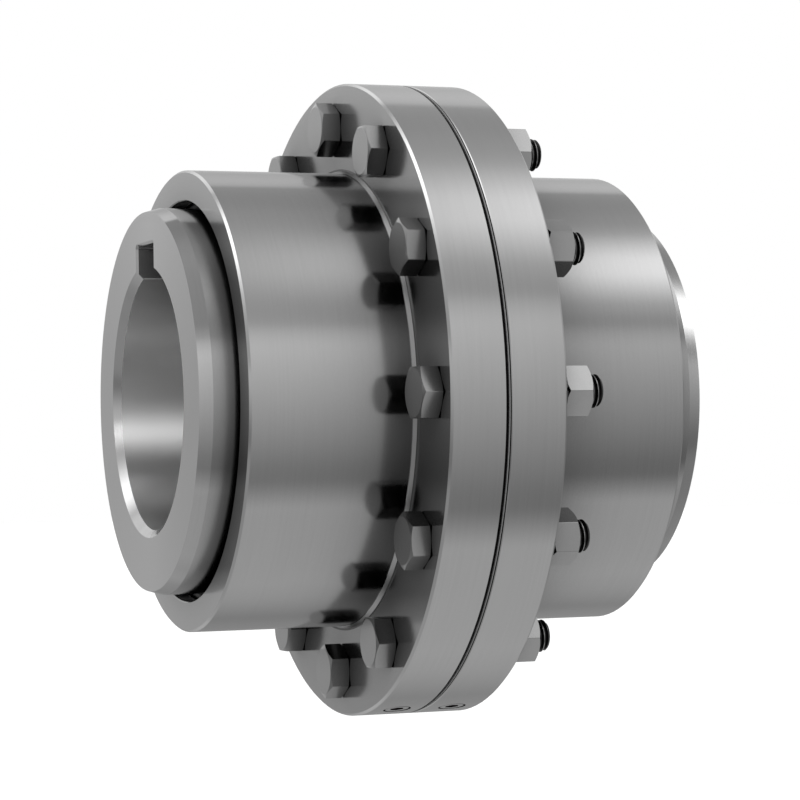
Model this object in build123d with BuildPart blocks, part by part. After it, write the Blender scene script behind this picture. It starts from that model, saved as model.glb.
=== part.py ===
from build123d import *
from math import cos, pi, radians, sin, sqrt, tan
import os

# Flanged gear coupling. The shaft axis is X, up is +Z, lengths are in millimetres.
# The origin is on the shaft axis, in the middle of the joint between the two flanges.
# Side b is on +X. Side a is the same piece turned round onto -X.

# Hub, from the shaft outwards
bore_d = 127.0
hub_wall = 31.75
nose_step = 1.75
hub_gap = 8.0
nose_length = 32.0
end_taper_length = 6.3
end_taper_drop = 1.85
bore_outer_chamfer = 3.6
bore_inner_chamfer = 2.0
nose_chamfer = 1.0

# Keyway in the hub's bore, for a square key
keyway_width = 31.75
keyway_depth = 14.0
keyway_root_radius = 1.2
keyway_chamfer = 1.2

# Teeth: crowned on the hub, straight in the sleeve
tooth_count = 40
pressure_angle = 20.0
tooth_face = 40.0
root_step = 0.15
hub_dedendum = 4.6
hub_addendum = 4.3
sleeve_addendum = 2.8
sleeve_dedendum = 5.5
backlash = 0.6
crown_radius = 400.0
tooth_overrun = 4.0
cut_margin = 2.0

# Sleeve, from its teeth to its mouth
barrel_wall = 8.5
chamber_step = 0.5
relief_width = 6.0
inner_lip = 6.0
outer_lip = 8.0
mouth_gap = 3.75
hub_projection = 18.0
corner_taper_length = 2.0
corner_taper_rise = 1.15
sleeve_end_chamfer = 1.1
mouth_chamfer = 0.5

# Seal ring: a round cord, as flat as it is squeezed between hub and sleeve
seal_cord = 6.3
seal_running_clearance = 0.05
seal_side_clearance = 1.85
seal_top_clearance = 0.8

# Flanges and the gasket between them
flange_width = 28.45
flange_outer_chamfer = 1.1
flange_joint_chamfer = 1.1
bolt_circle_offset = 22.5
flange_edge_offset = 22.25
gasket_thickness = 0.5
gasket_recess = 0.15
gasket_inner_margin = 2.0

# Bolts, nuts and spring washers
bolt_count = 12
bolt_d = 15.875
bolt_hole_clearance = 0.1
gasket_hole_clearance = 0.5
across_flats = 23.8
head_height = 9.9
head_land = 0.95
head_under_angle = 15.0
nut_height = 13.9
nut_thread_clearance = 0.05
hex_chamfer_angle = 30.0
washer_thickness = 3.95
washer_outer_d = 27.2
washer_bore_clearance = 0.25
washer_slit = 1.6
washer_slit_angle = 20.0
bolt_stand_out = 7.0
bolt_tip_chamfer = 1.4

# Lube plugs: two in each flange's rim, opposite each other
plug_d = 13.7
plug_length = 11.0
plug_recess = 0.2
plug_clearance = 0.05
plug_socket = 6.35
plug_socket_depth = 5.5
plug_chamfer = 1.0
lube_channel_d = 6.0
lube_angle = -75.0

# Radii that follow
bore_r = bore_d / 2
boss_r = bore_r + hub_wall
nose_r = boss_r - nose_step
hub_end_r = boss_r - end_taper_drop
root_r = boss_r + root_step
pitch_r = root_r + hub_dedendum
tip_r = pitch_r + hub_addendum
sleeve_tip_r = pitch_r - sleeve_addendum
sleeve_root_r = pitch_r + sleeve_dedendum
chamber_r = sleeve_root_r + chamber_step
mouth_r = boss_r + mouth_gap
barrel_r = sleeve_root_r + barrel_wall
bolt_circle_r = barrel_r + bolt_circle_offset
flange_r = bolt_circle_r + flange_edge_offset
seal_inner_r = boss_r + seal_running_clearance
seal_groove_r = seal_inner_r + seal_cord + seal_top_clearance
bolt_r = bolt_d / 2
corner_r = across_flats / 2 / cos(radians(30))
land_r = head_land * across_flats / 2
hex_chamfer = (corner_r - land_r) * tan(radians(hex_chamfer_angle))
head_under_chamfer = (corner_r - land_r) * tan(radians(head_under_angle))

# Stations along the shaft axis that follow
joint_face = gasket_thickness / 2
flange_face = joint_face + flange_width
hub_inner = hub_gap / 2
teeth_start = hub_inner + nose_length
teeth_end = teeth_start + tooth_face
tooth_centre = teeth_start + tooth_face / 2
sleeve_teeth_start = teeth_start - tooth_overrun
sleeve_teeth_end = teeth_end + tooth_overrun
lip_start = sleeve_teeth_end + relief_width
groove_start = lip_start + inner_lip
groove_end = groove_start + seal_cord + 2 * seal_side_clearance
seal_centre = (groove_start + groove_end) / 2
sleeve_end = groove_end + outer_lip
hub_end = sleeve_end + hub_projection
hub_length = hub_end - hub_inner
nut_start = flange_face + washer_thickness
nut_end = nut_start + nut_height
bolt_tip = nut_end + bolt_stand_out
flange_middle = joint_face + flange_width / 2

# Tooth form. The flanks are straight across and parallel on hub and sleeve at the pitch circle.
tooth_step = 360 / tooth_count
quarter_pitch = pi * pitch_r / tooth_count / 2
hub_space_angle = pressure_angle + tooth_step / 4
sleeve_space_angle = pressure_angle - tooth_step / 4
pitch_space_half = quarter_pitch + backlash / 4
bolt_step = 360 / bolt_count
lube_angles = (lube_angle, lube_angle + 180)


def radial_plane(x, angle, distance):
    """A plane that faces out from the shaft axis, at an angle measured up from the front (-Y)."""
    out = Vector(0, -cos(radians(angle)), sin(radians(angle)))
    return Plane(origin=Vector(x, 0, 0) + out * distance, x_dir=(1, 0, 0), z_dir=out)


def turned(piece, name, angle):
    """Writes a copy of a piece turned about the shaft axis, as a node of its own."""
    with BuildPart() as copy:
        add(piece.part, rotation=(-angle, 0, 0))
    copy.part.label = name
    export_step(copy.part, f"parts/{name}.step")


def turned_round(piece, name):
    """Writes the piece of side a: the piece of side b on the other side of the joint."""
    with BuildPart() as copy:
        mirror(piece.part, about=Plane.YZ)
    copy.part.label = name
    export_step(copy.part, f"parts/{name}.step")


def space_half(distance):
    """Half the width of a hub tooth space, at a distance from the shaft axis."""
    return pitch_space_half + (distance - pitch_r) * tan(radians(hub_space_angle))


def sleeve_space_half(distance):
    """Half the width of a sleeve tooth space, at a distance from the shaft axis."""
    return pitch_space_half - (distance - pitch_r) * tan(radians(sleeve_space_angle))


os.makedirs("parts", exist_ok=True)
tooth_turns = [Rotation(number * tooth_step, 0, 0) for number in range(tooth_count)]

# The space between two crowned hub teeth, below the axis. It is narrowest in the middle of the
# face, and opens towards both ends by the crown, as a hob on a curved path cuts it.
cut_outer = tip_r + cut_margin
cut_reach = tooth_face / 2 + tooth_overrun
cut_half = space_half(cut_outer)
cut_end_half = cut_half + crown_radius - sqrt(crown_radius**2 - cut_reach**2)
with BuildPart() as tooth_space:
    with BuildSketch(Plane(origin=(tooth_centre, 0, -cut_outer))):
        with BuildLine():
            near = ThreePointArc((-cut_reach, -cut_end_half), (0, -cut_half), (cut_reach, -cut_end_half))
            far = ThreePointArc((-cut_reach, cut_end_half), (0, cut_half), (cut_reach, cut_end_half))
            Line(near @ 0, far @ 0)
            Line(near @ 1, far @ 1)
        make_face()
    extrude(amount=cut_outer - root_r, taper=hub_space_angle)

# Hub: a turned blank whose tooth band is part of a ball about the middle of the teeth
band_end_r = sqrt(tip_r**2 - (tooth_face / 2) ** 2)
with BuildPart() as hub_b:
    with BuildSketch(Plane.XZ):
        with BuildLine():
            Polyline(
                (teeth_start, band_end_r),
                (teeth_start, nose_r),
                (hub_inner + nose_chamfer, nose_r),
                (hub_inner, nose_r - nose_chamfer),
                (hub_inner, bore_r + bore_inner_chamfer),
                (hub_inner + bore_inner_chamfer, bore_r),
                (hub_end - bore_outer_chamfer, bore_r),
                (hub_end, bore_r + bore_outer_chamfer),
                (hub_end, hub_end_r),
                (hub_end - end_taper_length, boss_r),
                (teeth_end, boss_r),
                (teeth_end, band_end_r),
            )
            ThreePointArc((teeth_start, band_end_r), (tooth_centre, tip_r), (teeth_end, band_end_r))
        make_face()
    revolve(axis=Axis.X)
    with Locations(tooth_turns):
        add(tooth_space.part, mode=Mode.SUBTRACT)
    with BuildSketch(Plane.YZ.offset(hub_inner)) as keyway:
        Rectangle(keyway_width, bore_r + keyway_depth, align=(Align.CENTER, Align.MIN))
        fillet(keyway.vertices().group_by(Axis.Z)[-1], keyway_root_radius)
    extrude(amount=hub_length, mode=Mode.SUBTRACT)
    for face_x, inward in ((hub_end, -1), (hub_inner, 1)):
        with BuildSketch(Plane(origin=(face_x, 0, 0), x_dir=(0, inward, 0), z_dir=(inward, 0, 0))) as mouth:
            Rectangle(
                keyway_width + 2 * keyway_chamfer,
                bore_r + keyway_depth + keyway_chamfer,
                align=(Align.CENTER, Align.MIN),
            )
            fillet(mouth.vertices().group_by(Axis.Z)[-1], keyway_root_radius + keyway_chamfer)
        extrude(amount=keyway_chamfer, taper=45, mode=Mode.SUBTRACT)
hub_b.part.label = "hub_b"
export_step(hub_b.part, "parts/hub_b.step")
turned_round(hub_b, "hub_a")

# Sleeve: barrel, flange, grease chamber, inner teeth, relief, seal groove and mouth in one piece
with BuildPart() as sleeve_b:
    with BuildSketch(Plane.XZ):
        with BuildLine():
            Polyline(
                (flange_face + corner_taper_length, barrel_r),
                (sleeve_end - sleeve_end_chamfer, barrel_r),
                (sleeve_end, barrel_r - sleeve_end_chamfer),
                (sleeve_end, mouth_r + mouth_chamfer),
                (sleeve_end - mouth_chamfer, mouth_r),
                (groove_end, mouth_r),
                (groove_end, seal_groove_r),
                (groove_start, seal_groove_r),
                (groove_start, mouth_r),
                (lip_start, mouth_r),
                (lip_start, chamber_r),
                (sleeve_teeth_end, chamber_r),
                (sleeve_teeth_end, sleeve_tip_r),
                (sleeve_teeth_start, sleeve_tip_r),
                (sleeve_teeth_start, chamber_r),
                (joint_face, chamber_r),
                (joint_face, flange_r - flange_joint_chamfer),
                (joint_face + flange_joint_chamfer, flange_r),
                (flange_face - flange_outer_chamfer, flange_r),
                (flange_face, flange_r - flange_outer_chamfer),
                (flange_face, barrel_r + corner_taper_rise),
                close=True,
            )
        make_face()
    revolve(axis=Axis.X)
    with BuildSketch(Plane.YZ.offset(sleeve_teeth_start)):
        with PolarLocations(0, tooth_count, start_angle=90 + tooth_step / 2):
            low = sleeve_tip_r - cut_margin
            Polygon(
                (low, -sleeve_space_half(low)),
                (sleeve_root_r, -sleeve_space_half(sleeve_root_r)),
                (sleeve_root_r, sleeve_space_half(sleeve_root_r)),
                (low, sleeve_space_half(low)),
                align=None,
            )
    extrude(amount=sleeve_teeth_end - sleeve_teeth_start, mode=Mode.SUBTRACT)
    with BuildSketch(Plane.YZ.offset(joint_face)):
        with PolarLocations(bolt_circle_r, bolt_count):
            Circle(bolt_r + bolt_hole_clearance)
    extrude(amount=flange_width, mode=Mode.SUBTRACT)
    for angle in lube_angles:
        with Locations(radial_plane(flange_middle, angle, flange_r)):
            CounterBoreHole(
                radius=lube_channel_d / 2,
                counter_bore_radius=plug_d / 2 + plug_clearance,
                counter_bore_depth=plug_recess + plug_length,
                depth=flange_r - chamber_r + cut_margin,
            )
sleeve_b.part.label = "sleeve_b"
export_step(sleeve_b.part, "parts/sleeve_b.step")
turned_round(sleeve_b, "sleeve_a")

# Gasket: a flat ring with the bolt holes, cut just short of the rim
with BuildPart() as gasket:
    with BuildSketch(Plane.YZ.offset(-joint_face)):
        Circle(flange_r - gasket_recess)
        Circle(chamber_r + gasket_inner_margin, mode=Mode.SUBTRACT)
        with PolarLocations(bolt_circle_r, bolt_count):
            Circle(bolt_r + gasket_hole_clearance, mode=Mode.SUBTRACT)
    extrude(amount=gasket_thickness)
gasket.part.label = "gasket"
export_step(gasket.part, "parts/gasket.step")

# Seal ring: rides on the hub's boss, with room in the sleeve's groove for the tilt
with BuildPart() as seal_ring_b:
    with BuildSketch(Plane.XZ):
        with Locations((seal_centre, seal_inner_r + seal_cord / 2)):
            Circle(seal_cord / 2)
    revolve(axis=Axis.X)
seal_ring_b.part.label = "seal_ring_b"
export_step(seal_ring_b.part, "parts/seal_ring_b.step")
turned_round(seal_ring_b, "seal_ring_a")

# The front bolt, with its nut and spring washer. A corner of each hexagon points outwards.
bolt_axis = Axis((0, -bolt_circle_r, 0), (1, 0, 0))
bolt_side = Plane(origin=(0, -bolt_circle_r, 0), x_dir=(1, 0, 0), z_dir=(0, -1, 0))
across_bolt = Plane(origin=(0, -bolt_circle_r, 0), x_dir=(0, -1, 0), z_dir=(1, 0, 0))
with BuildPart() as bolt:
    with BuildSketch(bolt_side):
        Polygon(
            (-flange_face, 0),
            (-flange_face, land_r),
            (-flange_face - head_under_chamfer, corner_r),
            (-flange_face - head_height + hex_chamfer, corner_r),
            (-flange_face - head_height, land_r),
            (-flange_face - head_height, 0),
            align=None,
        )
    revolve(axis=bolt_axis)
    with BuildSketch(across_bolt.offset(-flange_face - head_height)):
        RegularPolygon(corner_r, 6)
    extrude(amount=head_height, mode=Mode.INTERSECT)
    with BuildSketch(across_bolt.offset(-flange_face)):
        Circle(bolt_r)
    extrude(amount=flange_face + bolt_tip)
    chamfer(bolt.edges().group_by(Axis.X)[-1], bolt_tip_chamfer)

with BuildPart() as nut:
    with BuildSketch(bolt_side):
        Polygon(
            (nut_start, 0),
            (nut_start, land_r),
            (nut_start + hex_chamfer, corner_r),
            (nut_end - hex_chamfer, corner_r),
            (nut_end, land_r),
            (nut_end, 0),
            align=None,
        )
    revolve(axis=bolt_axis)
    with BuildSketch(across_bolt.offset(nut_start)):
        RegularPolygon(corner_r, 6)
        Circle(bolt_r + nut_thread_clearance, mode=Mode.SUBTRACT)
    extrude(amount=nut_height, mode=Mode.INTERSECT)

with BuildPart() as lock_washer:
    with BuildSketch(across_bolt.offset(flange_face)):
        Circle(washer_outer_d / 2)
        Circle(bolt_r + washer_bore_clearance, mode=Mode.SUBTRACT)
    extrude(amount=washer_thickness)
    with BuildSketch(bolt_side.offset(bolt_r)):
        with Locations(Location((flange_face + washer_thickness / 2, 0), washer_slit_angle)):
            Rectangle(2 * washer_thickness, washer_slit)
    extrude(amount=washer_outer_d, mode=Mode.SUBTRACT)

for number in range(bolt_count):
    turned(bolt, f"bolt_{number + 1:02d}", number * bolt_step)
    turned(nut, f"nut_{number + 1:02d}", number * bolt_step)
    turned(lock_washer, f"lock_washer_{number + 1:02d}", number * bolt_step)

# Lube plugs: screwed in just below the rim, each with a hexagon socket
plug_places = [(x, angle) for angle in lube_angles for x in (-flange_middle, flange_middle)]
for number, (x, angle) in enumerate(plug_places, start=1):
    top = radial_plane(x, angle, flange_r - plug_recess)
    with BuildPart() as lube_plug:
        with BuildSketch(top):
            Circle(plug_d / 2)
        extrude(amount=-plug_length)
        chamfer(lube_plug.faces().sort_by(SortBy.DISTANCE)[0].edges(), plug_chamfer)
        with BuildSketch(top):
            RegularPolygon(plug_socket / 2, 6, major_radius=False)
        extrude(amount=-plug_socket_depth, mode=Mode.SUBTRACT)
    lube_plug.part.label = f"lube_plug_{number:02d}"
    export_step(lube_plug.part, f"parts/lube_plug_{number:02d}.step")
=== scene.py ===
"""Looks of a flanged gear coupling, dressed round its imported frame. Metres, with the shaft along X."""

import logging
import math
from collections.abc import Callable
from dataclasses import dataclass, field
from enum import Enum

import bmesh
import bpy
from mathutils import Matrix, Vector


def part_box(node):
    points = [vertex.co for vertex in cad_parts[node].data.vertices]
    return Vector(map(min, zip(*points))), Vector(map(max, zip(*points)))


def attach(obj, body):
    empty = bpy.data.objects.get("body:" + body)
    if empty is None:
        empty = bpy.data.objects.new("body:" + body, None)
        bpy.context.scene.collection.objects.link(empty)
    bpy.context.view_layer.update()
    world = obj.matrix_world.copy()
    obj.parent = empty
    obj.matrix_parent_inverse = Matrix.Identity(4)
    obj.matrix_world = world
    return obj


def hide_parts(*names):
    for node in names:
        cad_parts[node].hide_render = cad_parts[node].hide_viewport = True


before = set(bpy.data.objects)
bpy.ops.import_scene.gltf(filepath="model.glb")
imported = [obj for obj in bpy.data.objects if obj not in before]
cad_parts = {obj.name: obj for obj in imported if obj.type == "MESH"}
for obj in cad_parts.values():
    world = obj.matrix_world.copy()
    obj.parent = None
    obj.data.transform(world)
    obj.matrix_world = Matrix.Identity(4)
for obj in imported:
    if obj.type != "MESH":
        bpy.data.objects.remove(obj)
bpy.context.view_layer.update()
LOG = logging.getLogger("gear_coupling")
MM = 0.001
# Two points of a mesh that are nearer than this are one.
MERGE = 1e-6
# Edges that turn by more degrees than this stay crisp.
CRISP = 14.0
# A ring of a loft: from the angle round X to the place along X and the radius.
Station = Callable[[float], tuple[float, float]]
# Clouds and grain both wander about a half, and their sum stays in this span.
PATTERN_SPAN = (0.6, 1.4)
# Share of open space round a point where the painted shade in a corner is darkest, and where it ends.
CORNER_SHADE_SPAN = (0.5, 0.95)


class Marks(Enum):
    """What the last tool left on a surface."""

    TURNED = "turned"
    FORGED = "forged"
    MOULDED = "moulded"
    PRESSED = "pressed"


def linear(colour: str) -> tuple[float, float, float, float]:
    """Turns an sRGB colour into the linear one that the renderer reads.

    Args:
        colour: Six hexadecimal digits after a number sign.

    Returns:
        Red, green, blue and alpha.
    """
    parts = [int(colour[start:start + 2], 16) / 255 for start in (1, 3, 5)]
    # The sRGB curve is a straight line near black and a power above it.
    channels = [part / 12.92 if part <= 0.04045 else ((part + 0.055) / 1.055) ** 2.4 for part in parts]
    return channels[0], channels[1], channels[2], 1.0


def add_node(tree: bpy.types.NodeTree, kind: str, inputs: dict | None = None,
             **settings: object) -> bpy.types.Node:
    """Adds a node with its settings, and links or values on its inputs.

    Args:
        tree: The tree that the node goes into.
        kind: Blender's name of the node's type.
        inputs: A value, or a socket to link, for each input by its name or number.
        **settings: Properties of the node itself.

    Returns:
        The new node.
    """
    node = tree.nodes.new(kind)
    for name, value in settings.items():
        setattr(node, name, value)
    for key, value in (inputs or {}).items():
        if isinstance(value, bpy.types.NodeSocket):
            tree.links.new(value, node.inputs[key])
        else:
            node.inputs[key].default_value = value
    return node


def set_stops(ramp: bpy.types.ColorRamp, stops: list[tuple[float, float]]) -> None:
    """Writes grey levels into a colour ramp.

    Args:
        ramp: The ramp to fill.
        stops: Position and linear grey level of each stop, in order.
    """
    while len(ramp.elements) < len(stops):
        ramp.elements.new(1.0)
    for element, (position, level) in zip(ramp.elements, stops):
        element.position = position
        element.color = (level, level, level, 1.0)


def shaft_radius(tree: bpy.types.NodeTree, place: bpy.types.Node) -> bpy.types.NodeSocket:
    """Adds the distance from the shaft axis.

    Args:
        tree: The material's tree.
        place: The node that gives Object coordinates.

    Returns:
        The distance in metres.
    """
    across = add_node(tree, "ShaderNodeVectorMath", {0: place.outputs["Object"], 1: (0.0, 1.0, 1.0)},
                      operation="MULTIPLY")
    return add_node(tree, "ShaderNodeVectorMath", {0: across.outputs["Vector"]},
                    operation="LENGTH").outputs["Value"]


def wander(tree: bpy.types.NodeTree, pattern: bpy.types.NodeSocket, middle: float,
           spread: float) -> bpy.types.NodeSocket:
    """Adds a value that wanders with a pattern.

    Args:
        tree: The material's tree.
        pattern: The sum of the clouds and the grain.
        middle: The value that it wanders round.
        spread: How far it goes, as a share of the middle.

    Returns:
        The value.
    """
    low, high = PATTERN_SPAN
    return add_node(tree, "ShaderNodeMapRange", {
        "Value": pattern, "From Min": low, "From Max": high,
        "To Min": middle * (1 - spread), "To Max": middle * (1 + spread),
    }).outputs["Result"]


@dataclass(frozen=True)
class Zone:
    """A ring-shaped stretch of a turned piece that has a finish of its own.

    Places along the shaft count from the joint, the same way at both ends unless both_ends is off.
    The radii reach past the whole coupling unless they are given.
    A slot width keeps the zone to a slot of that width above the shaft.
    """

    colour: str
    roughness: float
    along_mm: tuple[float, float]
    radius_mm: tuple[float, float] = (0.0, 200.0)
    slot_mm: float = 0.0
    both_ends: bool = True

    def mask(self, tree: bpy.types.NodeTree, place: bpy.types.Node) -> bpy.types.NodeSocket:
        """Adds a mask that is one in the zone.

        Args:
            tree: The material's tree.
            place: The node that gives Object coordinates.

        Returns:
            The mask.
        """
        apart = add_node(tree, "ShaderNodeSeparateXYZ", {"Vector": place.outputs["Object"]})
        along = apart.outputs["X"]
        if self.both_ends:
            along = add_node(tree, "ShaderNodeMath", {0: along}, operation="ABSOLUTE").outputs[0]
        spans = [(along, self.along_mm), (shaft_radius(tree, place), self.radius_mm)]
        if self.slot_mm:
            half = self.slot_mm / 2
            spans += [(apart.outputs["Y"], (-half, half)), (apart.outputs["Z"], (0.0, self.radius_mm[1]))]
        inside = [
            add_node(tree, "ShaderNodeMath", {
                0: value, 1: (low + high) / 2 * MM, 2: (high - low) / 2 * MM,
            }, operation="COMPARE").outputs[0]
            for value, (low, high) in spans
        ]
        mask = inside[0]
        for span in inside[1:]:
            mask = add_node(tree, "ShaderNodeMath", {0: mask, 1: span}, operation="MULTIPLY").outputs[0]
        return mask

    def lay(self, tree: bpy.types.NodeTree, place: bpy.types.Node, colour: bpy.types.NodeSocket,
            rough: bpy.types.NodeSocket) -> tuple[bpy.types.NodeSocket, bpy.types.NodeSocket]:
        """Turns colour and roughness to those of the zone inside it.

        Args:
            tree: The material's tree.
            place: The node that gives Object coordinates.
            colour: The colour so far.
            rough: The roughness so far.

        Returns:
            The new colour and roughness.
        """
        mask = self.mask(tree, place)
        tint = add_node(tree, "ShaderNodeMix", {"Factor": mask, "A": colour, "B": linear(self.colour)[:3]},
                        data_type="VECTOR")
        blur = add_node(tree, "ShaderNodeMix", {"Factor": mask, "A": rough, "B": self.roughness},
                        data_type="FLOAT")
        return tint.outputs["Result"], blur.outputs["Result"]


@dataclass(frozen=True)
class Finish:
    """A metal, rubber or fibre as it comes from its last process.

    The spreads are shares by which colour and roughness wander. The corner shade is painted shade:
    the share of its colour that a deep corner keeps, so one means none.
    """

    name: str
    colour: str
    roughness: float
    marks: Marks
    metallic: float = 1.0
    mark_pitch_mm: float = 1.0
    mark_depth_mm: float = 0.002
    mark_length_mm: float = 60.0
    cloud_size_mm: float = 71.4
    tone_spread: float = 0.04
    gloss_spread: float = 0.1
    ringed: bool = False
    zones: tuple[Zone, ...] = ()
    corner_shade: float = 1.0
    corner_shade_reach_mm: float = 100.0

    def grain(self, tree: bpy.types.NodeTree, place: bpy.types.Node) -> bpy.types.Node:
        """Adds the pattern of the tool's marks.

        Args:
            tree: The material's tree.
            place: The node that gives Object coordinates.

        Returns:
            A noise node whose factor is the height of the marks.
        """
        pitch = 1 / (self.mark_pitch_mm * MM)
        if self.marks is not Marks.TURNED:
            return add_node(tree, "ShaderNodeTexNoise", {
                "Vector": place.outputs["Object"], "Scale": pitch, "Detail": 5.0, "Roughness": 0.6,
            })
        # A turning tool leaves rings round a barrel and circles on a face.
        # Axial place plus radius runs across both, and the slow change round the shaft breaks them up.
        apart = add_node(tree, "ShaderNodeSeparateXYZ", {"Vector": place.outputs["Object"]})
        run = add_node(tree, "ShaderNodeMath", {0: apart.outputs["X"], 1: shaft_radius(tree, place)})
        across = add_node(tree, "ShaderNodeMath", {0: run.outputs[0], 1: pitch}, operation="MULTIPLY")
        slow = 1 / (self.mark_length_mm * MM)
        along = [
            add_node(tree, "ShaderNodeMath", {0: apart.outputs[axis], 1: slow}, operation="MULTIPLY")
            for axis in ("Y", "Z")
        ]
        rings = add_node(tree, "ShaderNodeCombineXYZ", {
            "X": across.outputs[0], "Y": along[0].outputs[0], "Z": along[1].outputs[0],
        })
        return add_node(tree, "ShaderNodeTexNoise", {
            "Vector": rings.outputs["Vector"], "Scale": 1.0, "Detail": 3.0, "Roughness": 0.6,
        })

    def shade_corners(self, tree: bpy.types.NodeTree, colour: bpy.types.NodeSocket) -> bpy.types.NodeSocket:
        """Paints shade into corners, where little open space lies round a point.

        Args:
            tree: The material's tree.
            colour: The colour without the painted shade.

        Returns:
            The colour with the painted shade on it.
        """
        corner, clear = CORNER_SHADE_SPAN
        space = add_node(tree, "ShaderNodeAmbientOcclusion", {"Distance": self.corner_shade_reach_mm * MM},
                         samples=8)
        corner_shade = add_node(tree, "ShaderNodeMapRange", {
            "Value": space.outputs["AO"], "From Min": corner, "From Max": clear,
            "To Min": self.corner_shade, "To Max": 1.0,
        })
        return add_node(tree, "ShaderNodeVectorMath", {0: colour, 1: corner_shade.outputs["Result"]},
                        operation="MULTIPLY").outputs["Vector"]

    def material(self) -> bpy.types.Material:
        """Builds the finish as a material.

        Returns:
            The material, whose patterns lie on Object coordinates in metres.
        """
        material = bpy.data.materials.new(self.name)
        material.use_nodes = True
        tree = material.node_tree
        tree.nodes.clear()
        place = add_node(tree, "ShaderNodeTexCoord")
        grain = self.grain(tree, place)
        clouds = add_node(tree, "ShaderNodeTexNoise", {
            "Vector": place.outputs["Object"], "Scale": 1 / (self.cloud_size_mm * MM),
            "Detail": 3.0, "Roughness": 0.5,
        })
        both = add_node(tree, "ShaderNodeMath", {0: clouds.outputs["Fac"], 1: grain.outputs["Fac"]})
        tone = wander(tree, both.outputs[0], 1.0, self.tone_spread)
        rough = wander(tree, both.outputs[0], self.roughness, self.gloss_spread)
        colour = add_node(tree, "ShaderNodeVectorMath", {0: linear(self.colour)[:3], 1: tone},
                          operation="MULTIPLY").outputs["Vector"]
        # Painted shade in the corners.
        if self.corner_shade < 1.0:
            colour = self.shade_corners(tree, colour)
        for zone in self.zones:
            colour, rough = zone.lay(tree, place, colour, rough)
        relief = add_node(tree, "ShaderNodeBump", {
            "Height": grain.outputs["Fac"], "Strength": 1.0, "Distance": self.mark_depth_mm * MM,
        })
        surface = add_node(tree, "ShaderNodeBsdfPrincipled", {
            "Base Color": colour,
            "Metallic": self.metallic,
            "Roughness": rough,
            "Normal": relief.outputs["Normal"],
        })
        if self.ringed:
            # Rings round the shaft smear a reflection along it, a quarter turn away from the tangent.
            round_shaft = add_node(tree, "ShaderNodeVectorMath", {
                0: place.outputs["Object"], 1: (1.0, 0.0, 0.0),
            }, operation="CROSS_PRODUCT")
            tree.links.new(round_shaft.outputs["Vector"], surface.inputs["Tangent"])
            surface.inputs["Anisotropic"].default_value = 0.9
            surface.inputs["Anisotropic Rotation"].default_value = 0.25
        add_node(tree, "ShaderNodeOutputMaterial", {"Surface": surface.outputs["BSDF"]})
        return material


# A honed bore, smeared more along the shaft; painted light makes it brighter than the turned outside.
HONED_BORE_PAINTED_LIGHT = Zone("#C0C0C0", 0.32, along_mm=(0.0, 124.4), radius_mm=(0.0, 64.0))
# Walls of the keyway, as the broach leaves them: smooth steel that mirrors its own dark slot.
BROACHED_KEYWAY = Zone("#8E8E8E", 0.24, along_mm=(0.0, 126.7), radius_mm=(0.0, 80.0), slot_mm=32.0)
# Sealing compound and oil that the clamped joint squeezes out: nearly black, dull.
JOINT_SEALER = Zone("#0C0C0C", 0.6, along_mm=(-1.9, 0.95), both_ends=False)
# The corner between barrel and flange: a taper that the tool's nose leaves duller, so it shines evenly.
TURNED_CORNER = Zone("#929292", 0.4, along_mm=(28.74, 30.4), radius_mm=(113.9, 115.2))
# Foot of that taper on the flange: a dull, dark line of painted shade in the corner.
SHADED_FOOT = Zone("#606060", 0.45, along_mm=(28.5, 28.74), radius_mm=(114.9, 116.1))
# Where a finish below darkens its corners, that darkening is painted shade.
# Carbon steel, finish turned: a neutral grey mirror, slightly blurred, with fine rings.
# The rings of a real 0.2 mm feed are too fine to show here, so they are drawn 1 mm apart.
HUB_STEEL = Finish("turned_hub_steel", "#989898", 0.15, Marks.TURNED, ringed=True, corner_shade=0.4,
                   zones=(BROACHED_KEYWAY, HONED_BORE_PAINTED_LIGHT))
SLEEVE_STEEL = Finish("turned_sleeve_steel", "#989898", 0.15, Marks.TURNED, corner_shade=0.45,
                      zones=(JOINT_SEALER, TURNED_CORNER, SHADED_FOOT))
# Cold-headed steel with a drawn skin: smooth, a little cloudy.
BOLT_STEEL = Finish("plain_bolt_steel", "#8F8F8F", 0.22, Marks.FORGED, mark_pitch_mm=2.0, corner_shade=0.3,
                    corner_shade_reach_mm=25.0)
NUT_STEEL = Finish("plain_nut_steel", "#8C8C8C", 0.17, Marks.FORGED, mark_pitch_mm=2.0, corner_shade=0.5,
                   corner_shade_reach_mm=15.0)
# Flanks and roots of the rolled thread: dull, dark painted shade in its grooves.
THREAD_GROOVE_SHADE = Finish("thread_groove_shade", "#2E2E2E", 0.35, Marks.FORGED, mark_pitch_mm=1.0)
# Hardened spring steel, left dark from the furnace.
WASHER_STEEL = Finish("spring_steel", "#454545", 0.35, Marks.FORGED, mark_pitch_mm=1.0)
# Plain steel of the socket plugs: light on the end, with painted shade down in the hole.
PLUG_STEEL = Finish("plug_steel", "#969696", 0.2, Marks.FORGED, mark_pitch_mm=1.0, corner_shade=0.4,
                    corner_shade_reach_mm=5.0)
# Painted shade in the groove round a plug and down in its socket: nearly black, dull.
PLUG_PAINTED_SHADE = Finish("plug_painted_shade", "#101010", 0.5, Marks.PRESSED, mark_pitch_mm=1.0)
# Nitrile rubber from a polished mould: black, with a dull shine.
SEAL_RUBBER = Finish("nitrile_rubber", "#161616", 0.5, Marks.MOULDED, metallic=0.0,
                     mark_pitch_mm=0.6, mark_depth_mm=0.01)
# Compressed fibre sheet: grey, dull, with short fibres.
GASKET_FIBRE = Finish("gasket_fibre", "#808080", 0.85, Marks.PRESSED, metallic=0.0,
                      mark_pitch_mm=0.8, mark_depth_mm=0.03, tone_spread=0.08)


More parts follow.
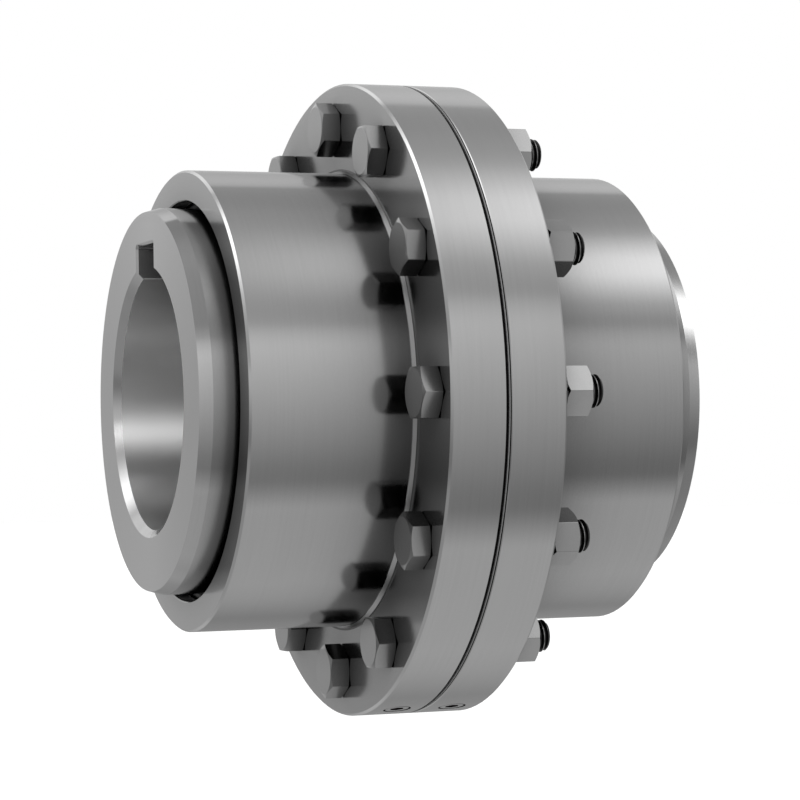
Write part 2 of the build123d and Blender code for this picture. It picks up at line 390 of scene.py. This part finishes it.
def dress(nodes: list[str], finish: Finish) -> None:
    """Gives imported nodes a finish.

    Args:
        nodes: Names of the nodes.
        finish: The finish that all of them get.
    """
    material = finish.material()
    for name in nodes:
        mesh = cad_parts[name].data
        mesh.materials.clear()
        mesh.materials.append(material)
        LOG.info("dressed %s with %s", name, finish.name)


def loop_of(made: list) -> list[bmesh.types.BMEdge]:
    """Picks the new rim out of what an extrusion made.

    Args:
        made: The new geometry.

    Returns:
        The edges whose two ends are both new.
    """
    verts = {item for item in made if isinstance(item, bmesh.types.BMVert)}
    return [item for item in made if isinstance(item, bmesh.types.BMEdge) and set(item.verts) <= verts]


def loft(shape: bmesh.types.BMesh, stations: list[Station], segments: int, capped: bool) -> None:
    """Extrudes a circle round the X axis from station to station.

    Args:
        shape: The empty mesh that the body goes into.
        stations: For each ring, a function from the angle to the place along X and the radius.
        segments: Points in a ring.
        capped: True for a solid body, False for one that closes on itself, as round a hole.
    """
    facing = Matrix.Rotation(math.pi / 2, 4, "Y")
    circle = bmesh.ops.create_circle(shape, segments=segments, radius=1.0, matrix=facing)
    rim = list({edge for vert in circle["verts"] for edge in vert.link_edges})
    first = rim
    for number, station in enumerate(stations):
        if number:
            rim = loop_of(bmesh.ops.extrude_edge_only(shape, edges=rim)["geom"])
        for vert in {vert for edge in rim for vert in edge.verts}:
            angle = math.atan2(vert.co.z, vert.co.y)
            along, radius = station(angle)
            vert.co = (along, radius * math.cos(angle), radius * math.sin(angle))
    if capped:
        for edges in (first, rim):
            bmesh.ops.edgeloop_fill(shape, edges=edges)
    else:
        bmesh.ops.bridge_loops(shape, edges=first + rim)
    bmesh.ops.recalc_face_normals(shape, faces=shape.faces)


def ring(along: float, radius: float) -> Station:
    """A plain circle as a station of a loft."""
    return lambda angle: (along, radius)


def hexagon(across_flats: float, angle: float) -> float:
    """Distance from an axis to a hexagon round it, whose corners lie at 0, 60, 120 degrees."""
    sixth = math.pi / 3
    return across_flats / 2 / math.cos(angle % sixth - sixth / 2)


def settle(name: str, shape: bmesh.types.BMesh,
           materials: list[bpy.types.Material]) -> bpy.types.Object:
    """Turns a mesh under construction into a finished object at the origin.

    Args:
        name: Name of the piece.
        shape: The mesh, which is used up.
        materials: Its finishes, by the numbers that its faces carry.

    Returns:
        The object, linked into the scene.
    """
    mesh = bpy.data.meshes.new(name)
    shape.to_mesh(mesh)
    shape.free()
    mesh.shade_smooth()
    mesh.set_sharp_from_angle(angle=math.radians(CRISP))
    for material in materials:
        mesh.materials.append(material)
    piece = bpy.data.objects.new(name, mesh)
    bpy.context.scene.collection.objects.link(piece)
    LOG.info("made %s: %d faces", name, len(mesh.polygons))
    return piece


@dataclass
class Fasteners:
    """Twelve hexagon bolts and nuts that clamp the two flanges.

    The thread has 11 turns to the inch and starts thread_cover deep in the nut. Its flank and crest
    are shares of the pitch, and crest_depth is the share of its depth that counts as crest. The land
    is the round flat of an end face, as a share of the width across flats. The chamfers' angles are
    in degrees from the end face. The edges that edge_round takes off are longer than edge_length
    and lie on a corner, but for edge_slack, a share of a sixth of a turn. The last eight sizes come
    from the frame.
    """

    count: int = 12
    shank_radius: float = 7.9375 * MM
    thread_pitch: float = 2.309 * MM
    thread_depth: float = 1.417 * MM
    flank_share: float = 0.354
    crest_share: float = 0.125
    crest_depth: float = 0.1
    thread_cover: float = 3.2 * MM
    tip_chamfer: float = 1.4 * MM
    land_share: float = 0.95
    head_angle: float = 22.0
    under_angle: float = 15.0
    nut_angle: float = 30.0
    edge_round: float = 0.2 * MM
    edge_length: float = 3.0 * MM
    edge_slack: float = 0.01
    nut_countersink: float = 0.9 * MM
    segments: int = 72
    thread_steps: int = 48
    across_flats: float = field(init=False)
    land: float = field(init=False)
    circle_radius: float = field(init=False)
    head_top: float = field(init=False)
    head_base: float = field(init=False)
    nut_start: float = field(init=False)
    nut_end: float = field(init=False)
    tip: float = field(init=False)

    def __post_init__(self) -> None:
        """Reads the places of the first bolt, nut and washer from the frame."""
        low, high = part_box("bolt_01")
        nut_low, nut_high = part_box("nut_01")
        self.across_flats = high.z - low.z
        self.land = self.land_share * self.across_flats / 2
        self.circle_radius = -(low.y + high.y) / 2
        self.head_top = low.x
        # The heads lie on the one flange as the washers do on the other.
        self.head_base = -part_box("lock_washer_01")[0].x
        self.nut_start = nut_low.x
        self.nut_end = nut_high.x
        self.tip = high.x

    def hexagon_station(self, along: float, slope: float) -> Station:
        """A ring on the hexagon, where a cone from the land at a place along X meets its sides.

        Args:
            along: Place along X of the land.
            slope: How far the cone runs along X for each metre of radius, with its sign.

        Returns:
            The station.
        """
        def station(angle: float) -> tuple[float, float]:
            """Gives a point of the ring."""
            radius = hexagon(self.across_flats, angle)
            return along + slope * (radius - self.land), radius
        return station

    def round_corners(self, shape: bmesh.types.BMesh) -> None:
        """Takes the sharpness off the six long edges of a hexagon.

        Args:
            shape: The mesh, about the X axis, with corners at 0, 60, 120 degrees.
        """
        sixth = math.pi / 3
        edges = []
        for edge in shape.edges:
            angles = [math.atan2(vert.co.z, vert.co.y) for vert in edge.verts]
            turns = [abs(angle / sixth - round(angle / sixth)) for angle in angles]
            radii = [math.hypot(vert.co.y, vert.co.z) for vert in edge.verts]
            long = abs(edge.verts[0].co.x - edge.verts[1].co.x) > self.edge_length
            if long and max(turns) < self.edge_slack and min(radii) > self.land:
                edges.append(edge)
        bmesh.ops.bevel(shape, geom=edges, offset=self.edge_round, segments=2, profile=0.5,
                        affect="EDGES", material=-1)

    def bolt(self) -> bmesh.types.BMesh:
        """Builds a bolt about the X axis: head, shank and rolled thread.

        Returns:
            The mesh under construction.
        """
        shape = bmesh.new()
        top, under = (math.tan(math.radians(angle)) for angle in (self.head_angle, self.under_angle))
        # The shank ends in the nut, inside the turns of the thread.
        shank_end = self.nut_end - self.thread_cover / 2
        loft(shape, [
            ring(self.head_top, self.land),
            self.hexagon_station(self.head_top, top),
            self.hexagon_station(self.head_base, -under),
            ring(self.head_base, self.land),
            ring(self.head_base, self.shank_radius),
            ring(shank_end, self.shank_radius),
        ], self.segments, capped=True)
        self.round_corners(shape)
        self.thread(shape)
        return shape

    def winding(self, start: float) -> bmesh.types.BMesh:
        """Winds the thread's profile about the X axis, past both of its ends.

        Args:
            start: Place along X where the thread begins.

        Returns:
            The mesh under construction.
        """
        pitch = self.thread_pitch
        root = self.shank_radius - self.thread_depth
        root_flat = 1 - 2 * self.flank_share - self.crest_share
        profile = (
            (0.0, root),
            (root_flat, root),
            (root_flat + self.flank_share, self.shank_radius),
            (1 - self.flank_share, self.shank_radius),
            (1.0, root),
        )
        # Two turns too many, so that a cut across either end meets the whole thread.
        turns = math.ceil((self.tip - start) / pitch) + 2
        winding = bmesh.new()
        chain = [winding.verts.new((start + (share - 1) * pitch, radius, 0.0)) for share, radius in profile]
        edges = [winding.edges.new(pair) for pair in zip(chain, chain[1:])]
        bmesh.ops.spin(winding, geom=chain + edges, cent=(0, 0, 0), axis=(1, 0, 0), angle=turns * math.tau,
                       dvec=(pitch / self.thread_steps, 0, 0), steps=turns * self.thread_steps)
        bmesh.ops.remove_doubles(winding, verts=winding.verts, dist=MERGE)
        return winding

    def thread(self, shape: bmesh.types.BMesh) -> None:
        """Makes the thread that stands out of the nut, with a cone at its tip and closed ends.

        Args:
            shape: The mesh that the thread joins.
        """
        start = self.nut_end - self.thread_cover
        winding = self.winding(start)
        cone = self.tip - self.tip_chamfer
        # The first two planes cut off what lies past them. The other two give the tip's cone its rings.
        cuts = ((start, -1.0), (self.tip, 1.0), (cone, 0.0), (self.tip - self.tip_chamfer / 2, 0.0))
        for along, side in cuts:
            bmesh.ops.bisect_plane(winding, geom=winding.verts[:] + winding.edges[:] + winding.faces[:],
                                   plane_co=(along, 0, 0), plane_no=(side or 1.0, 0, 0),
                                   clear_outer=bool(side))
        for vert in winding.verts:
            limit = self.shank_radius - max(0.0, vert.co.x - cone)
            radius = math.hypot(vert.co.y, vert.co.z)
            if radius > limit:
                vert.co.y *= limit / radius
                vert.co.z *= limit / radius
        bmesh.ops.holes_fill(winding, edges=[edge for edge in winding.edges if edge.is_boundary], sides=0)
        bmesh.ops.recalc_face_normals(winding, faces=winding.faces)
        crest = self.shank_radius - self.crest_depth * self.thread_depth
        # Faces below the crest take the painted shade of the grooves.
        for face in winding.faces:
            face.material_index = int(min(math.hypot(vert.co.y, vert.co.z) for vert in face.verts) < crest)
        part = bpy.data.meshes.new("winding")
        winding.to_mesh(part)
        winding.free()
        shape.from_mesh(part)
        bpy.data.meshes.remove(part)

    def nut(self) -> bmesh.types.BMesh:
        """Builds a nut about the X axis, chamfered on both faces, with a countersunk hole.

        Returns:
            The mesh under construction.
        """
        shape = bmesh.new()
        slope = math.tan(math.radians(self.nut_angle))
        wide = self.shank_radius + self.nut_countersink
        loft(shape, [
            ring(self.nut_start, wide),
            ring(self.nut_start, self.land),
            self.hexagon_station(self.nut_start, slope),
            self.hexagon_station(self.nut_end, -slope),
            ring(self.nut_end, self.land),
            ring(self.nut_end, wide),
            ring(self.nut_end - self.nut_countersink, self.shank_radius),
            ring(self.nut_start + self.nut_countersink, self.shank_radius),
        ], self.segments, capped=False)
        self.round_corners(shape)
        return shape

    def spread(self, kind: str, build: Callable[[], bmesh.types.BMesh], finishes: list[Finish]) -> None:
        """Places copies of a fastener round the bolt circle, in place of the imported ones.

        Args:
            kind: First part of the nodes' names.
            build: Makes one fastener about the X axis.
            finishes: Its finishes, by the numbers that its faces carry.
        """
        materials = [finish.material() for finish in finishes]
        outwards = Matrix.Translation((0.0, -self.circle_radius, 0.0))
        for number in range(self.count):
            node = f"{kind}_{number + 1:02d}"
            shape = build()
            turned = Matrix.Rotation(-math.tau * number / self.count, 4, "X")
            bmesh.ops.transform(shape, matrix=turned @ outwards, verts=shape.verts)
            piece = settle(f"{node}_detail", shape, materials)
            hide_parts(node)
            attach(piece, "sleeves")

    def build(self) -> None:
        """Makes the bolts and nuts and dresses the washers."""
        self.spread("bolt", self.bolt, [BOLT_STEEL, THREAD_GROOVE_SHADE])
        self.spread("nut", self.nut, [NUT_STEEL])
        dress([f"lock_washer_{number + 1:02d}" for number in range(self.count)], WASHER_STEEL)


@dataclass
class LubePlugs:
    """Four socket plugs that close the lube holes in the rims of the flanges.

    Their angles are in degrees from the front, and upwards: the first pair's and the second pair's.
    The corners of the socket lie within corner_reach times half its width across flats.
    """

    count: int = 4
    radius: float = 6.85 * MM
    length: float = 11.0 * MM
    chamfer: float = 1.0 * MM
    socket: float = 6.35 * MM
    socket_depth: float = 5.5 * MM
    corner_reach: float = 1.16
    recess: float = 0.2 * MM
    angles: tuple[float, float] = (-75.0, 105.0)
    segments: int = 72

    def plug(self) -> bmesh.types.BMesh:
        """Builds a plug whose outer end is at the origin and looks along X.

        Returns:
            The mesh under construction.
        """
        shape = bmesh.new()
        loft(shape, [
            ring(-self.length, self.radius),
            ring(-self.chamfer, self.radius),
            ring(0.0, self.radius - self.chamfer),
            lambda angle: (0.0, hexagon(self.socket, angle)),
            lambda angle: (-self.socket_depth, hexagon(self.socket, angle)),
        ], self.segments, capped=True)
        # Faces in the groove round the rim and down in the socket take the painted shade.
        for face in shape.faces:
            middle = face.calc_center_median()
            radius = math.hypot(middle.y, middle.z)
            wide = radius > self.radius - self.chamfer
            deep = radius < self.socket / 2 * self.corner_reach and middle.x < -self.recess
            face.material_index = int(wide or deep)
        return shape

    def build(self) -> None:
        """Screws the plugs into both flanges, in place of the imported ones."""
        materials = [PLUG_STEEL.material(), PLUG_PAINTED_SHADE.material()]
        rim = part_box("sleeve_a")[1].z - self.recess
        for number in range(self.count):
            node = f"lube_plug_{number + 1:02d}"
            low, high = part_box(node)
            shape = self.plug()
            angle = math.radians(self.angles[number // 2])
            outwards = Vector((0.0, -math.cos(angle), math.sin(angle)))
            facing = Vector((1.0, 0.0, 0.0)).rotation_difference(outwards).to_matrix().to_4x4()
            place = Matrix.Translation(Vector(((low.x + high.x) / 2, 0.0, 0.0)) + rim * outwards)
            bmesh.ops.transform(shape, matrix=place @ facing, verts=shape.verts)
            piece = settle(f"{node}_detail", shape, materials)
            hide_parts(node)
            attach(piece, "sleeves")


@dataclass(frozen=True)
class Surface:
    """A part of the studio, as the metal sees it: its light round the shaft times its light along it."""

    name: str
    turn: tuple[tuple[float, float], ...]
    width: tuple[tuple[float, float], ...]


# Each pair is a place and the light there. The direction of a reflection has two places.
# Turn goes round the shaft in degrees: 0 is the front, 90 above, 180 behind and -90 below.
# Width goes along the shaft: -1 is the left end, 1 the right end.
BACK_WIDTH = (
    (-1.0, 0.8), (-0.6, 1.0), (-0.42, 1.68), (-0.31, 1.8), (-0.26, 2.15), (-0.15, 2.15), (0.15, 1.0),
    (0.3, 1.04), (0.45, 1.12),
)
SURFACES = (
    Surface("floor", (
        (-138, 0.0), (-128, 0.25), (-117, 0.82), (-104, 0.94), (-56, 0.94), (-41, 0.0),
    ), (
        (-1.0, 0.74), (-0.75, 0.74), (-0.55, 1.0), (-0.3, 0.95), (-0.05, 1.0), (0.18, 0.88), (0.29, 1.03),
        (0.37, 1.03), (0.5, 0.98), (0.8, 0.55),
    )),
    Surface("ceiling", (
        (37, 0.0), (44, 0.83), (88, 0.87), (104, 0.79), (112, 0.7), (120, 0.66), (130, 0.66), (132.5, 0.0),
    ), (
        (-1.0, 1.1), (-0.75, 0.9), (-0.55, 1.0), (-0.4, 0.82), (-0.2, 0.82), (-0.05, 0.9), (0.18, 0.77),
        (0.29, 1.02), (0.37, 1.03), (0.5, 1.0), (0.8, 0.9),
    )),
    Surface("front wall", (
        (-58, 0.0), (-40, 0.47), (-34, 0.5), (24, 1.33), (27, 1.33), (33, 1.12), (38, 0.71), (44, 0.0),
    ), (
        (-1.0, 1.0), (-0.85, 0.85), (-0.7, 0.52), (-0.52, 0.6), (-0.42, 1.1), (-0.3, 1.25), (-0.2, 1.15),
        (-0.1, 1.05), (0.2, 0.95), (0.3, 1.12), (0.38, 1.0), (0.47, 0.7), (1.0, 0.95),
    )),
    Surface("back wall above", (
        (131, 0.0), (132.5, 0.98), (141, 0.92), (147, 0.79), (155, 0.62), (162, 0.58), (168, 0.71),
        (174, 0.38), (180, 0.34),
    ), BACK_WIDTH),
    Surface("back wall below", (
        (-180, 0.34), (-163, 0.33), (-150, 0.42), (-138, 0.46), (-128, 0.38), (-117, 0.0),
    ), BACK_WIDTH),
    Surface("softbox above", (
        (40, 0.0), (48, 0.1), (58, 0.54), (65, 0.83), (75, 0.83), (82, 0.54), (92, 0.1), (100, 0.0),
    ), (
        (0.26, 0.0), (0.37, 1.15), (0.44, 2.1), (0.8, 5.3),
    )),
)


@dataclass
class Studio:
    """Camera, lights, floor and surroundings.

    The camera's angles are in degrees, its lens and sensor in millimetres. The window's width is
    where its light has fallen to about a third, over the distance between unit directions.
    """

    azimuth: float = -20.194
    elevation: float = -1.211
    roll: float = -0.961
    distance: float = 1.40602
    aim_x: float = 0.00495
    aim_z: float = -0.0003
    lens: float = 124.24
    sensor: float = 36.0
    nearest: float = 0.05
    farthest: float = 60.0
    floor_z: float = -0.32
    floor_size: float = 24.0
    floor_grey: tuple[float, float, float, float] = (0.5, 0.5, 0.5, 1.0)
    window_way: tuple[float, float, float] = (-0.66, 0.21, 0.72)
    window_width: float = 0.3
    window_light: float = 3.6
    lamp_place: tuple[float, float, float] = (-0.38, -0.13, 0.115)
    lamp_length: float = 0.16
    lamp_height: float = 0.11
    lamp_aim: tuple[float, float, float] = (-0.105, 0.0635, -0.02)
    lamp_spread: float = 30.0
    lamp_power: float = 0.092

    def camera(self) -> None:
        """Places the camera as the photograph was taken."""
        degrees = (self.azimuth, self.elevation, self.roll)
        azimuth, elevation, roll = (math.radians(angle) for angle in degrees)
        back = Vector((
            math.sin(azimuth) * math.cos(elevation),
            -math.cos(azimuth) * math.cos(elevation),
            math.sin(elevation),
        ))
        level = Vector((math.cos(azimuth), math.sin(azimuth), 0.0))
        upright = back.cross(level)
        right = math.cos(roll) * level + math.sin(roll) * upright
        up = math.cos(roll) * upright - math.sin(roll) * level
        data = bpy.data.cameras.new("camera")
        data.lens = self.lens
        data.sensor_width = self.sensor
        data.clip_start = self.nearest
        data.clip_end = self.farthest
        camera = bpy.data.objects.new("camera", data)
        place = Matrix((right, up, back)).transposed().to_4x4()
        place.translation = Vector((self.aim_x, 0.0, self.aim_z)) + self.distance * back
        camera.matrix_world = place
        bpy.context.scene.collection.objects.link(camera)
        bpy.context.scene.camera = camera

    def window(self, tree: bpy.types.NodeTree, place: bpy.types.Node) -> bpy.types.NodeSocket:
        """Adds a bright window with soft edges.

        Args:
            tree: The world's tree.
            place: The node that gives the direction as Generated coordinates.

        Returns:
            The light level.
        """
        away = add_node(tree, "ShaderNodeVectorMath", {0: place.outputs["Generated"], 1: self.window_way},
                        operation="DISTANCE").outputs["Value"]
        share = add_node(tree, "ShaderNodeMath", {0: away, 1: self.window_width},
                         operation="DIVIDE").outputs[0]
        square = add_node(tree, "ShaderNodeMath", {0: share, 1: share}, operation="MULTIPLY").outputs[0]
        minus = add_node(tree, "ShaderNodeMath", {0: square, 1: -1.0}, operation="MULTIPLY").outputs[0]
        bell = add_node(tree, "ShaderNodeMath", {0: minus}, operation="EXPONENT").outputs[0]
        return add_node(tree, "ShaderNodeMath", {0: bell, 1: self.window_light},
                        operation="MULTIPLY").outputs[0]

    def graded(self, tree: bpy.types.NodeTree, value: bpy.types.NodeSocket, reach: float,
               levels: tuple[tuple[float, float], ...]) -> bpy.types.NodeSocket:
        """Adds a ramp of light levels over an angle or a place.

        Args:
            tree: The world's tree.
            value: What the levels change with.
            reach: The ramp runs from minus this value to plus it.
            levels: Value and level of each place, in order.

        Returns:
            The level.
        """
        brightest = max(level for _, level in levels)
        share = add_node(tree, "ShaderNodeMath", {0: value, 1: 0.5 / reach, 2: 0.5},
                         operation="MULTIPLY_ADD")
        ramp = add_node(tree, "ShaderNodeValToRGB", {"Fac": share.outputs[0]})
        stops = [(place / reach / 2 + 0.5, level / brightest) for place, level in levels]
        set_stops(ramp.color_ramp, stops)
        return add_node(tree, "ShaderNodeMath", {0: ramp.outputs["Color"], 1: brightest},
                        operation="MULTIPLY").outputs[0]

    def surroundings(self) -> None:
        """Builds the studio that the metal reflects: a room, a long softbox above and a bright window."""
        world = bpy.data.worlds.new("studio")
        bpy.context.scene.world = world
        world.use_nodes = True
        tree = world.node_tree
        tree.nodes.clear()
        place = add_node(tree, "ShaderNodeTexCoord")
        way = add_node(tree, "ShaderNodeSeparateXYZ", {"Vector": place.outputs["Generated"]})
        front = add_node(tree, "ShaderNodeMath", {0: way.outputs["Y"], 1: -1.0}, operation="MULTIPLY")
        turn = add_node(tree, "ShaderNodeMath", {0: way.outputs["Z"], 1: front.outputs[0]},
                        operation="ARCTAN2")
        angle = add_node(tree, "ShaderNodeMath", {0: turn.outputs[0]}, operation="DEGREES")
        light = self.window(tree, place)
        for surface in SURFACES:
            turned = self.graded(tree, angle.outputs[0], reach=180.0, levels=surface.turn)
            wide = self.graded(tree, way.outputs["X"], reach=1.0, levels=surface.width)
            part = add_node(tree, "ShaderNodeMath", {0: turned, 1: wide}, operation="MULTIPLY").outputs[0]
            light = add_node(tree, "ShaderNodeMath", {0: light, 1: part}).outputs[0]
            LOG.info("lit the studio's %s", surface.name)
        path = add_node(tree, "ShaderNodeLightPath")
        seen = add_node(tree, "ShaderNodeMix", {
            "Factor": path.outputs["Is Camera Ray"], "A": light, "B": 1.0,
        }, data_type="FLOAT")
        shine = add_node(tree, "ShaderNodeBackground", {"Color": seen.outputs["Result"], "Strength": 1.0})
        add_node(tree, "ShaderNodeOutputWorld", {"Surface": shine.outputs["Background"]})

    def bore_lamp(self) -> None:
        """Hangs a small lamp with a grid outside the bore, which lights only its far wall."""
        data = bpy.data.lights.new("bore_lamp", "AREA")
        data.shape = "RECTANGLE"
        data.size = self.lamp_length
        data.size_y = self.lamp_height
        data.energy = self.lamp_power
        data.spread = math.radians(self.lamp_spread)
        lamp = bpy.data.objects.new("bore_lamp", data)
        place = Vector(self.lamp_place)
        turn = (Vector(self.lamp_aim) - place).to_track_quat("-Z", "Y")
        lamp.matrix_world = Matrix.Translation(place) @ turn.to_matrix().to_4x4()
        lamp.visible_camera = False
        bpy.context.scene.collection.objects.link(lamp)

    def floor(self) -> None:
        """Lays a plain pale floor that keeps the shadow and shows in no reflection."""
        mesh = bpy.data.meshes.new("floor")
        shape = bmesh.new()
        bmesh.ops.create_grid(shape, x_segments=1, y_segments=1, size=self.floor_size / 2)
        bmesh.ops.translate(shape, verts=shape.verts, vec=(0.0, 0.0, self.floor_z))
        shape.to_mesh(mesh)
        shape.free()
        floor = bpy.data.objects.new("floor", mesh)
        bpy.context.scene.collection.objects.link(floor)
        material = bpy.data.materials.new("pale_floor")
        material.use_nodes = True
        tree = material.node_tree
        tree.nodes.clear()
        path = add_node(tree, "ShaderNodeLightPath")
        # The glow lifts the lit floor to white for the camera, so that only the shadow shows on it.
        matt = add_node(tree, "ShaderNodeBsdfDiffuse", {"Color": self.floor_grey})
        glow = add_node(tree, "ShaderNodeEmission", {
            "Color": self.floor_grey, "Strength": path.outputs["Is Camera Ray"],
        })
        both = add_node(tree, "ShaderNodeAddShader", {0: matt.outputs["BSDF"], 1: glow.outputs["Emission"]})
        add_node(tree, "ShaderNodeOutputMaterial", {"Surface": both.outputs["Shader"]})
        mesh.materials.append(material)
        floor.visible_glossy = False

    def build(self) -> None:
        """Sets up the camera, the surroundings, the bore lamp and the floor."""
        self.camera()
        self.surroundings()
        self.bore_lamp()
        self.floor()
        bpy.context.scene.view_settings.view_transform = "Standard"


def main() -> None:
    """Builds the scene piece by piece."""
    logging.basicConfig(level=logging.INFO, format="%(message)s")
    Studio().build()
    dress(["hub_a", "hub_b"], HUB_STEEL)
    dress(["sleeve_a", "sleeve_b"], SLEEVE_STEEL)
    Fasteners().build()
    LubePlugs().build()
    dress(["seal_ring_a", "seal_ring_b"], SEAL_RUBBER)
    dress(["gasket"], GASKET_FIBRE)


if __name__ == "__main__":
    main()
